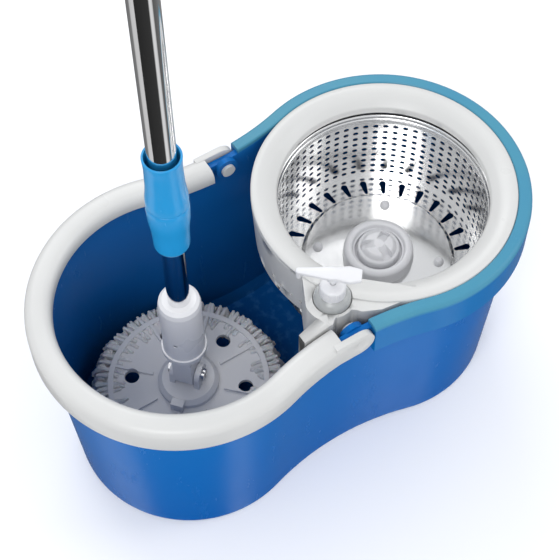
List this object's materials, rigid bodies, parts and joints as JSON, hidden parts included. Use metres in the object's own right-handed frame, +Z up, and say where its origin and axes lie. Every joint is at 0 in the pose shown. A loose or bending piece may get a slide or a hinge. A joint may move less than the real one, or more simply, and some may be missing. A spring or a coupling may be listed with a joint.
{
  "type": "spin mop",
  "caption": "Figure-of-eight mop bucket with a carry handle, a perforated spin basket under a white deck with a soap pump, and a telescopic press-to-spin mop with a round head.",
  "frame": {"origin": "on the ground under the middle of the bucket", "axes": "+Z up, +X from the wash lobe to the spin lobe, -Y to the side with the soap pump"},
  "size_m": [0.4778, 0.265, 0.9149],
  "materials": {
    "tub_blue": "gloss",
    "collar_blue": "gloss",
    "sky_blue": "gloss",
    "white_plastic": "satin",
    "hidden_plastic": "matte",
    "basket_steel": "bright",
    "tube_chrome": "polished",
    "steel": "satin",
    "clear_plastic": "clear",
    "bush_plastic": "matte",
    "dark_plastic": "matte",
    "gasket": "matte",
    "microfibre": "soft pile"
  },
  "bodies": {
    "base": {"bucket_tub": "tub_blue", "rim_collar": "collar_blue", "deck": "white_plastic", "spindle_stand": "hidden_plastic", "wash_stand": "hidden_plastic", "stand_screws": "steel", "spindle_shaft": "steel", "thrust_washer": "steel", "spindle_clip": "steel", "wash_axle": "steel"},
    "handle": {"carry_handle": "white_plastic", "handle_pins": "white_plastic"},
    "basket": {"basket_wall": "basket_steel", "basket_rim": "basket_steel", "basket_floor": "basket_steel", "basket_carrier": "hidden_plastic", "basket_studs": "white_plastic", "hub_bush_upper": "bush_plastic", "hub_bush_lower": "bush_plastic", "basket_hub": "white_plastic", "hub_cap": "white_plastic"},
    "turning_cap": {"wash_cap": "white_plastic"},
    "bottle": {"soap_bottle": "clear_plastic", "dip_tube": "clear_plastic", "pump_closure": "white_plastic", "pump_gasket": "gasket", "pump_housing": "clear_plastic", "pump_spring": "steel"},
    "pump": {"pump_stem": "white_plastic", "pump_head": "white_plastic"},
    "mop_head": {"mop_plate": "white_plastic", "strand_ring": "white_plastic", "mop_strands": "microfibre", "swivel_base": "white_plastic", "swivel_clips": "white_plastic", "swivel_screw": "steel", "swivel_nut": "steel"},
    "lower_pole": {"pole_socket": "white_plastic", "socket_rivet": "steel", "inner_tube": "tube_chrome", "guide_bush": "dark_plastic", "nut_housing": "dark_plastic"},
    "nut": {"drive_nut": "bush_plastic"},
    "upper_pole": {"outer_tube": "tube_chrome", "lock_cup": "sky_blue", "lock_collet": "dark_plastic", "twist_rod": "steel", "rod_plug": "dark_plastic", "rod_rivet": "steel", "grip": "sky_blue", "grip_cap": "white_plastic"},
    "lock": {"lock_sleeve": "sky_blue"}
  },
  "joints": [
    {"name": "handle_swing", "type": "hinge", "parent": "base", "child": "handle", "pos_m": [0.003, 0, 0.2145], "axis": [0, 1, 0], "range_deg": [0, 45]},
    {"name": "basket_spin", "type": "hinge", "parent": "base", "child": "basket", "pos_m": [0.1064, 0, 0.11], "axis": [0, 0, 1], "continuous": true},
    {"name": "cap_spin", "type": "hinge", "parent": "base", "child": "turning_cap", "pos_m": [-0.1064, 0, 0.06], "axis": [0, 0, 1], "continuous": true},
    {"name": "mop_lift", "type": "slide", "parent": "turning_cap", "child": "mop_head", "axis": [0, 0, 1], "range_m": [0, 0.42]},
    {"name": "mop_tilt", "type": "hinge", "parent": "mop_head", "child": "lower_pole", "pos_m": [-0.1064, 0, 0.096], "axis": [-0.6428, 0.766, 0], "range_deg": [-25, 25]},
    {"name": "mop_press", "type": "slide", "parent": "lower_pole", "child": "upper_pole", "axis": [0, 0, 1], "range_m": [0, 0.4]},
    {"name": "nut_turn", "type": "hinge", "parent": "lower_pole", "child": "nut", "pos_m": [-0.1064, 0, 0.806], "axis": [0, 0, 1], "range_deg": [-1450, 10]},
    {"name": "lock_turn", "type": "hinge", "parent": "upper_pole", "child": "lock", "pos_m": [-0.1064, 0, 0.34], "axis": [0, 0, 1], "range_deg": [0, 90]},
    {"name": "bottle_lift", "type": "slide", "parent": "base", "child": "bottle", "axis": [0, 0, 1], "range_m": [0, 0.12]},
    {"name": "pump_press", "type": "slide", "parent": "bottle", "child": "pump", "axis": [0, 0, -1], "range_m": [0, 0.007], "stiffness_N_per_m": 450, "springref_m": -0.003, "deforming": ["pump_spring"]}
  ],
  "couplings": [
    {"joint": "nut_turn", "follows": "mop_press", "rad_per_m": -62.832}
  ]
}
